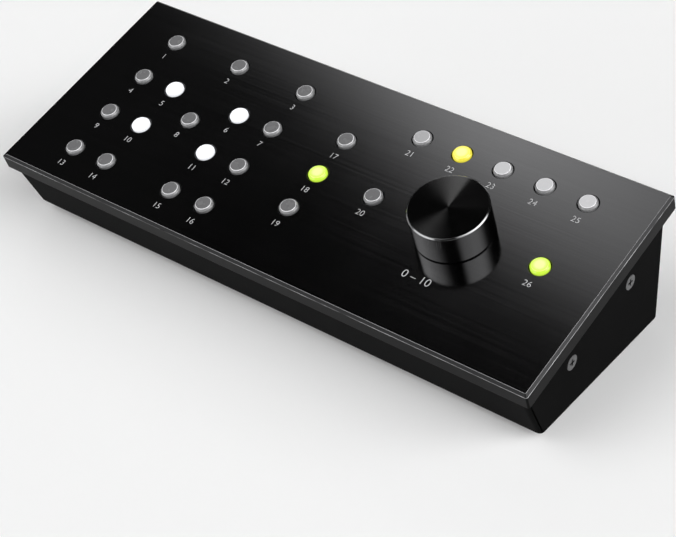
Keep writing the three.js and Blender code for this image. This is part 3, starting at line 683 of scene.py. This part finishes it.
def blockMesh(low, high):
    mesh = bpy.data.meshes.new("block")
    (x0, y0, z0), (x1, y1, z1) = low, high
    mesh.from_pydata([(x0, y0, z0), (x1, y0, z0), (x1, y1, z0), (x0, y1, z0),
                      (x0, y0, z1), (x1, y0, z1), (x1, y1, z1), (x0, y1, z1)], [],
                     [(3, 2, 1, 0), (4, 5, 6, 7), (0, 1, 5, 4), (1, 2, 6, 5), (2, 3, 7, 6), (3, 0, 4, 7)])
    return mesh


def placed(mesh, place):
    mesh.transform(place)
    return mesh


def finished(name, mesh, finish):  # an object of a mesh in one finish
    mesh.materials.clear()
    mesh.materials.append(finish)
    return newObject(name, mesh)


def fitPiece(name, mesh, node, finish, others=()):  # a piece in the place of one or more CAD nodes
    piece = finished(name, mesh, finish)
    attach(piece, bodyOf[node])
    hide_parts(node, *others)


def rideRoot(name, mesh, finish):  # a piece without a CAD node of its own
    piece = finished(name, mesh, finish)
    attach(piece, "root")
    return piece


# Sizes that the pieces share, in metres, from the nodes' own spans in the deck's axes
plateLow, plateHigh = nodeSpan("top_plate")
capNames = nodesOf("button_cap_")
capSpans = {name: nodeSpan(name) for name in capNames}
capCentres = {name: (low + high) / 2 for name, (low, high) in capSpans.items()}
knobLow, knobHigh = nodeSpan("volume_knob")

# Button caps
print("button caps")
capSize = {
    "sides": 48,
    "topRadius": 3.0 * mm,
    "shoulderRadius": 3.7 * mm,
    "shoulder": 0.5 * mm,
    "top": 1.3 * mm,
    "dome": 0.03 * mm,
    "domeSteps": 5,
    "flangeRadius": 4.85 * mm,
    "flange": (-3.6 * mm, -2.8 * mm),
    "stemRadius": 1.7 * mm,
    "softness": 0.06 * mm,
    # width of the painted highlight ring round the top's edge
    "rim": 0.16 * mm,
    "shown": (2.3 * mm, 1.8 * mm),  # along the outline below the top: black past these, inside the hole
    # four clear caps whose tops are brightened by a painted highlight, a faint even glow
    "paintedGlow": {"button_cap_21": 0.26, "button_cap_23": 0.42, "button_cap_24": 0.44, "button_cap_25": 0.44},
}


def capProfile(cap):
    foot = capSpans[capNames[0]][0].z
    low, high = cap["flange"]
    edge = cap["top"] - cap["dome"]
    corners = [(0, foot), (cap["stemRadius"], foot), (cap["stemRadius"], low), (cap["flangeRadius"], low),
               (cap["flangeRadius"], high), (cap["shoulderRadius"], high),
               (cap["shoulderRadius"], cap["shoulder"]), (cap["topRadius"], edge)]
    angles = [math.radians(90 * i / cap["domeSteps"]) for i in range(1, cap["domeSteps"])]
    dome = [Vector((cap["topRadius"] * math.cos(angle), edge + cap["dome"] * math.sin(angle)))
            for angle in angles] + [Vector((0, cap["top"]))]
    return softened(corners + dome[:1], cap["softness"]) + dome[1:]


def lengthOf(profile):
    return sum((Vector(b) - Vector(a)).length for a, b in zip(profile, profile[1:]))


capSize["length"] = lengthOf(capProfile(capSize))
# rim: the colour of the painted highlight ring round each top
capLooks = {
    # on the clear caps the sides (edge) are painted lighter than the top: painted light on the side band
    "cap_clear": {"edge": grey(0.24), "middle": grey(0.155), "rim": grey(0.85)},
    "cap_white": {"edge": grey(0.5), "middle": grey(0.55), "rim": grey(0.7),
                  "glow": 0.75, "glowEdge": (0.80, 0.82, 0.86), "glowMiddle": (1, 1, 1)},
    "cap_green": {"edge": (0.2, 0.3, 0.02), "middle": (0.3, 0.4, 0.06), "rim": (0.5, 0.6, 0.2),
                  "glow": 0.75, "glowEdge": (0.62, 0.92, 0.07), "glowMiddle": (0.93, 0.99, 0.48)},
    "cap_yellow": {"edge": (0.3, 0.26, 0.02), "middle": (0.4, 0.38, 0.06), "rim": (0.6, 0.55, 0.2),
                   "glow": 0.75, "glowEdge": (0.90, 0.80, 0.08), "glowMiddle": (0.99, 0.99, 0.48)},
}
capFinishes = {slot: capFinish(slot, look) for slot, look in capLooks.items()}
for capName, paintedGlow in capSize["paintedGlow"].items():  # painted highlight: these four clear caps get a faint, even glow that brightens their tops
    capFinishes[capName] = capFinish("cap_clear_" + capName[-2:], {
        **capLooks["cap_clear"], "glow": 1.0, "even": True,
        "glowEdge": grey(0.02), "glowMiddle": grey(paintedGlow)})


def makeCaps(cap):
    shape = turnedMesh(capProfile(cap), cap["sides"])
    for name in capNames:
        finish = capFinishes.get(name) or capFinishes[slotOf[name]]
        mesh = copiedMesh(shape, [onDeck(capCentres[name])], finish)
        fitPiece("lens_" + name[-2:], smoothed(mesh), name, finish)


makeCaps(capSize)

# Top plate, whose pocket follows the tray, so that the tray's sizes stand here too
print("top plate")
plateSize = {
    "chamfer": 1.1 * mm,
    "corner": 0.8 * mm,
    "face": 2.5 * mm,
    "lipFoot": -7.1 * mm,
    "edgeSoftness": 0.12 * mm,
    "cornerSteps": 10,
    "pocketCorner": 2.4 * mm,
    "holeRadius": 4.05 * mm,
    "holeChamfer": 0.25 * mm,
    "holeSides": 64,
    "bushingHole": 4.8 * mm,
    "studRadius": 1.5 * mm,
    "studSides": 24,
    "overrun": 3 * mm,
}
traySize = {
    "sheet": 1.5 * mm,
    "half": 122.86 * mm,
    "floor": 3.85 * mm,
    "front": -34.175 * mm,
    "rear": 44.375 * mm,
    "top": 70 * mm,  # before the slope cuts it off
    "lean": math.radians(24.45),
    "bend": 2.1 * mm,
    "corner": 2.4 * mm,
    "seam": 0.45 * mm,
    "seamInset": 1.2 * mm,
    "under": -7.4 * mm,
    "socketGap": 0.3 * mm,
    "screwHole": 1.8 * mm,
    "countersink": (3.3 * mm, 1.5 * mm),  # radius and depth
    "holeSides": 48,
    "overrun": 3 * mm,
    "bendSteps": 8,
    "cornerSteps": 10,
}
anodised = blackAnodised()


def trayFrontAt(tray, z):
    return tray["front"] - (z - tray["floor"]) * math.tan(tray["lean"])


def pocketSpan(tray, lipFoot):  # the pocket ends where the tray's inner faces meet the lip
    start = deckPlace @ Vector((0, 0, lipFoot))
    front = trayFrontAt(tray, start.z) + tray["sheet"] / math.cos(tray["lean"]) - start.y
    rear = tray["rear"] - tray["sheet"] - start.y
    return front / (upSlope.y + upSlope.z * math.tan(tray["lean"])), rear / upSlope.y


def studPlaces():
    places = []
    for name in nodesOf("board_nut_"):
        low, high = nodeSpan(name)
        places.append(onDeck((low + high) / 2))
    return places


def chartGrain(mesh):  # U across the grain, V along it, by the way that each face looks from the deck's axes
    back = deckPlace.inverted()
    turn = back.to_3x3()
    chart = mesh.uv_layers.get("grain") or mesh.uv_layers.new(name="grain")
    for face in mesh.polygons:
        way = turn @ face.normal
        axis = max(range(3), key=lambda i: abs(way[i]))
        across, along = {0: (2, 1), 1: (2, 0), 2: (1, 0)}[axis]
        for loop in face.loop_indices:
            point = back @ mesh.vertices[mesh.loops[loop].vertex_index].co
            chart.data[loop].uv = (point[across], point[along])


def makePlate(plate):
    half, front, rear = plateHigh.x + knobFoot.x, plateLow.y, plateHigh.y
    lipFoot, under = plate["lipFoot"], -plate["face"]
    chamfer, reach, steps = plate["chamfer"], plate["overrun"], plate["cornerSteps"]
    profile = softened([(reach, lipFoot), (0, lipFoot), (0, -chamfer), (chamfer, 0), (2 * reach, 0)],
                       plate["edgeSoftness"])[1:-1]
    rings = []
    for inset, height in profile:
        corner = plate["corner"] * (1 - 0.5 * min(inset / chamfer, 1))  # half as round at the bevel's top
        rings.append(roundedRing(half - inset, front + inset, rear - inset, corner, height, steps))
    pocketHalf = traySize["half"] - traySize["sheet"]
    pocketLow, pocketHigh = pocketSpan(traySize, lipFoot)
    pocketRings = [roundedRing(pocketHalf, pocketLow, pocketHigh, plate["pocketCorner"], height, steps)
                   for height in (lipFoot - reach, under)]
    middle = deckPlace @ Matrix.Translation((-knobFoot.x, 0, 0))
    shell, pocket = placed(loft(rings), middle), placed(loft(pocketRings), middle)
    bore = plate["holeRadius"]
    hole = turnedMesh([(0, under - reach), (bore, under - reach), (bore, -plate["holeChamfer"]),
                       (bore + plate["holeChamfer"] + reach, reach), (0, reach)], plate["holeSides"])
    holes = copiedMesh(hole, [onDeck(centre) for centre in capCentres.values()])
    bushing = placed(rodMesh(plate["bushingHole"], under - reach, reach, plate["holeSides"]), deckPlace)
    stud = rodMesh(plate["studRadius"], plateLow.z, under / 2, plate["studSides"])
    studs = copiedMesh(stud, studPlaces())
    milled = evenNormals(combined(combined(shell, [pocket, holes, bushing]), [studs], "UNION"))
    chartGrain(milled)
    fitPiece("milled_plate", milled, "top_plate", anodised)


makePlate(plateSize)

# Knob
print("knob")
knobSize = {
    "sides": 128,
    "edge": 0.45 * mm,
    "footEdge": 0.2 * mm,
    "softness": 0.08 * mm,
    "cavityRadius": 10.868 * mm,
    "roof": 2.4 * mm,
    "topSteps": 12,
}


def makeKnob(knob):
    foot, top, radius = knobLow.z, knobHigh.z, knobHigh.x
    edge, footEdge, ceiling = knob["edge"], knob["footEdge"], top - knob["roof"]
    outline = softened([(0, ceiling), (knob["cavityRadius"], ceiling), (knob["cavityRadius"], foot),
                        (radius - footEdge, foot), (radius, foot + footEdge),
                        (radius, top - edge), (radius - edge, top), (0, top)], knob["softness"])
    rim = radius - 2 * edge
    steps = knob["topSteps"]
    ringed = outline[:-1] + [Vector((rim * (1 - i / steps), top)) for i in range(steps)] + outline[-1:]
    metal = knobMetal(lengthOf(ringed) - (radius - edge), edge * math.sqrt(2))
    mesh = placed(turnedMesh(ringed, knob["sides"], metal), deckPlace)
    fitPiece("turned_knob", evenNormals(mesh), "volume_knob", metal)


makeKnob(knobSize)

# Tray
print("tray")
painted = speckled("blackPaint")


def trayShell(tray, inset, bend, corner, bottom, top):
    half, rear, steps = tray["half"] - inset, tray["rear"] - inset, tray["cornerSteps"]
    lean = inset / math.cos(tray["lean"])
    rings = []
    for i in range(tray["bendSteps"] + 1):
        angle = math.radians(90 * i / tray["bendSteps"])
        draw = bend * (1 - math.sin(angle))
        z = bottom + bend * (1 - math.cos(angle))
        rings.append(roundedRing(half - draw, trayFrontAt(tray, z) + lean + draw, rear - draw,
                                 max(corner - draw, corner / 4), z, steps))
    rings.append(roundedRing(half, trayFrontAt(tray, top) + lean, rear, corner, top, steps))
    return loft(rings)


def seamTools(tray, span):  # the slits where the front and rear sheets end on the sides
    start = tray["floor"] + tray["bend"]
    front = Matrix.Translation((0, trayFrontAt(tray, start) + tray["seamInset"], start))
    rear = Matrix.Translation((0, tray["rear"] - tray["seamInset"] - tray["seam"], start))
    tools = []
    inside, outside = tray["half"] - 1.5 * tray["sheet"], tray["half"] + tray["sheet"]
    for side in (-1, 1):
        left, right = sorted((side * inside, side * outside))
        for place in (front @ Matrix.Rotation(tray["lean"], 4, "X"), rear):
            tools.append(placed(blockMesh((left, 0, 0), (right, tray["seam"], span)), place))
    return tools


def makeTray(tray):
    sheet, reach, top, gap = tray["sheet"], tray["overrun"], tray["top"], tray["socketGap"]
    outer = trayShell(tray, 0, tray["bend"], tray["corner"], tray["floor"], top)
    inner = trayShell(tray, sheet, tray["bend"] - sheet, tray["corner"] - sheet, tray["floor"] + sheet,
                      top + reach)
    span = 2 * tray["half"]
    slope = placed(blockMesh((-span, -span, tray["under"]), (span, span, span)), deckPlace)
    socketLow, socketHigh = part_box("usb_socket")
    opening = blockMesh((socketLow.x - gap, tray["rear"] - sheet - reach, socketLow.z - gap),
                        (socketHigh.x + gap, tray["rear"] + reach, socketHigh.z + gap))
    bore, (flareRadius, flareDepth) = tray["screwHole"], tray["countersink"]
    hole = turnedMesh([(0, -sheet - reach), (bore, -sheet - reach), (bore, -flareDepth), (flareRadius, 0),
                       (flareRadius, reach), (0, reach)], tray["holeSides"])
    holes = copiedMesh(hole, screwPlaces())
    folded = combined(outer, [inner, slope, opening, *seamTools(tray, span), holes])
    fitPiece("folded_tray", evenNormals(folded), "housing_tray", painted)


def screwPlaces():
    places = []
    for name in nodesOf("side_screw_"):
        low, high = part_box(name)
        side = 1 if low.x > 0 else -1
        middle = (low + high) / 2
        places.append((Vector((side * traySize["half"], middle.y, middle.z)), Vector((side, 0, 0))))
    return places


makeTray(traySize)

# Side screws
print("screws and feet")
screwSize = {
    "sides": 40,
    "head": 3.0 * mm,
    "land": 0.15 * mm,
    "shank": 1.5 * mm,
    "length": 9 * mm,
    "span": 3.6 * mm,
    "arm": 0.95 * mm,
    "depth": 1.3 * mm,
    "taper": 0.62,  # the recess at its foot, as a share of its mouth
    "softness": 0.08 * mm,
}
blackScrew = speckled("screwBlack")


def makeScrews(screw):
    head, land, shank, end = screw["head"], screw["land"], screw["shank"], -screw["length"]
    neck = -land - (head - shank)
    outline = [(0, end), (shank, end), (shank, neck), (head, -land), (head, 0), (0, 0)]
    body = turnedMesh(softened(outline, screw["softness"]), screw["sides"])
    arms = []
    for wide, tall in ((screw["span"], screw["arm"]), (screw["arm"], screw["span"])):
        arm = blockMesh((-wide / 2, -tall / 2, -screw["depth"]), (wide / 2, tall / 2, screw["depth"]))
        for vertex in arm.vertices:
            if vertex.co.z < 0:
                vertex.co.x *= screw["taper"]
                vertex.co.y *= screw["taper"]
        arms.append(arm)
    names = nodesOf("side_screw_")
    mesh = copiedMesh(combined(body, arms), screwPlaces(), blackScrew)
    fitPiece("cross_screws", smoothed(mesh), names[0], blackScrew, names[1:])


makeScrews(screwSize)

# Feet
footSize = {"sides": 64, "radius": 6 * mm, "flare": 0.8 * mm, "height": 3.55 * mm, "softness": 0.25 * mm}
rubber = speckled("blackRubber")


def makeFeet(foot):
    outline = softened([(0, 0), (foot["radius"] - foot["flare"], 0), (foot["radius"], foot["flare"]),
                        (foot["radius"], foot["height"]), (0, foot["height"])], foot["softness"])
    names = nodesOf("foot_")
    places = []
    for name in names:
        low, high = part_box(name)
        places.append((Vector(((low.x + high.x) / 2, (low.y + high.y) / 2, 0)), Vector((0, 0, 1))))
    mesh = copiedMesh(turnedMesh(outline, foot["sides"]), places, rubber)
    fitPiece("rubber_feet", smoothed(mesh), names[0], rubber, names[1:])


makeFeet(footSize)

# Socket at the back: a metal mouth round a tongue with four contacts
print("socket")
socketSize = {
    "wall": 0.9 * mm,
    "sideWall": 1.7 * mm,
    "back": 3 * mm,
    "corner": 1.5 * mm,
    "flare": 0.35 * mm,
    "tongue": (5.6 * mm, 3.2 * mm),
    "tongueShy": 1.6 * mm,
    "tongueEdge": 0.4 * mm,
    "tongueGap": 0.05 * mm,
    "contact": (1.0 * mm, 0.12 * mm),
    "contactPitch": 2.5 * mm,
    "contactGap": 0.1 * mm,
    "overrun": 1 * mm,
}
steel = speckled("plainSteel")


def acrossRing(corners, y):  # a ring square to Y, walked so that a loft towards the back faces outwards
    return [(x, y, z) for x, z in reversed(corners)]


def mouthCorners(low, high, draw, corner):
    x0, x1, z0, z1 = low.x + draw[0], high.x - draw[0], low.z + draw[1], high.z - draw[1]
    return [(x0, z0), (x1, z0), (x1, z1 - corner), (x1 - corner, z1), (x0 + corner, z1), (x0, z1 - corner)]


def makeSocket(socket):
    low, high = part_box("usb_socket")
    flare, floor = socket["flare"], low.y + socket["back"]
    walls = (socket["sideWall"], socket["wall"])
    plain = mouthCorners(low, high, walls, socket["corner"])
    flared = mouthCorners(low, high, (walls[0] - flare, walls[1] - flare), socket["corner"])
    mouth = loft([acrossRing(plain, floor), acrossRing(plain, high.y - flare),
                  acrossRing(flared, high.y), acrossRing(flared, high.y + socket["overrun"])])
    shell = combined(blockMesh(low, high), [mouth])
    fitPiece("socket_shell", evenNormals(shell), "usb_socket", steel)
    middleX, middleZ = (low.x + high.x) / 2, (low.z + high.z) / 2
    halfWide, halfTall = socket["tongue"][0] / 2, socket["tongue"][1] / 2
    end, edge = high.y - socket["tongueShy"], socket["tongueEdge"]
    rings = []
    for y, draw in ((floor + socket["tongueGap"], 0), (end - edge, 0), (end, edge)):
        corners = [(middleX + sx * (halfWide - draw), middleZ + sz * (halfTall - draw))
                   for sx, sz in ((-1, -1), (1, -1), (1, 1), (-1, 1))]
        rings.append(acrossRing(corners, y))
    rideRoot("socket_tongue", evenNormals(loft(rings)), speckled("ivoryPlastic"))
    strips = []
    halfStrip, thick = socket["contact"][0] / 2, socket["contact"][1]
    for side in (-1, 1):
        bottom, top = sorted((middleZ + side * (halfTall - thick / 2), middleZ + side * (halfTall + thick)))
        for sign in (-1, 1):
            x = middleX + sign * socket["contactPitch"] / 2
            strips.append(blockMesh((x - halfStrip, floor + socket["contactGap"], bottom),
                                    (x + halfStrip, end - 2 * edge, top)))
    contacts = joined("contacts", strips)
    rideRoot("socket_contacts", contacts, speckled("goldContact"))


makeSocket(socketSize)

# Plain numbers beside the buttons and the knob
print("numbers")
printSize = {
    "height": 2.5 * mm,
    "thinner": 0.012,  # drawn in from the letter's outline, as a share of the font's size
    "below": 8.3 * mm,
    "thick": 0.02 * mm,
    "knobWord": "0 – 10",
    "knobWordHeight": 3.3 * mm,
    "knobBelow": 24.0 * mm,
}
inkWhite = speckled("printWhite")


def textMesh(words, thinner=0.0):  # one unit thick, because the extrusion goes both ways
    curve = bpy.data.curves.new("words", "FONT")
    curve.body = words
    curve.align_x = "CENTER"
    curve.extrude = 0.5
    curve.offset = -thinner
    return plainMesh(newObject("words", curve))


def makeNumbers(ink):
    tall = max(v.co.y for v in textMesh("1").vertices)
    labels = [(str(int(name[-2:])), capCentres[name].x, capCentres[name].y - ink["below"], ink["height"])
              for name in capNames]
    labels.append((ink["knobWord"], 0, -ink["knobBelow"], ink["knobWordHeight"]))
    meshes = []
    for words, x, v, height in labels:
        mesh = textMesh(words, ink["thinner"])
        mesh.transform(Matrix.Diagonal((height / tall, height / tall, ink["thick"], 1)))
        mesh.transform(Matrix.Translation((x, v - height / 2, ink["thick"] / 2)))
        meshes.append(placed(mesh, deckPlace))
    rideRoot("printed_numbers", joined("numbers", meshes), inkWhite)


makeNumbers(printSize)

# Finishes of the pieces that keep their CAD shape
print("inner pieces")
innerFinishes = {
    "dark_plastic": speckled("darkPlastic"),
    "plain_steel": steel,
    "circuit_board": speckled("circuitBoard"),
    "ribbon_grey": ribbonGrey(),
}
for name, node in frame["nodes"].items():
    finish = innerFinishes.get(slotOf[name])
    if finish:
        node.data.materials.clear()
        node.data.materials.append(finish)
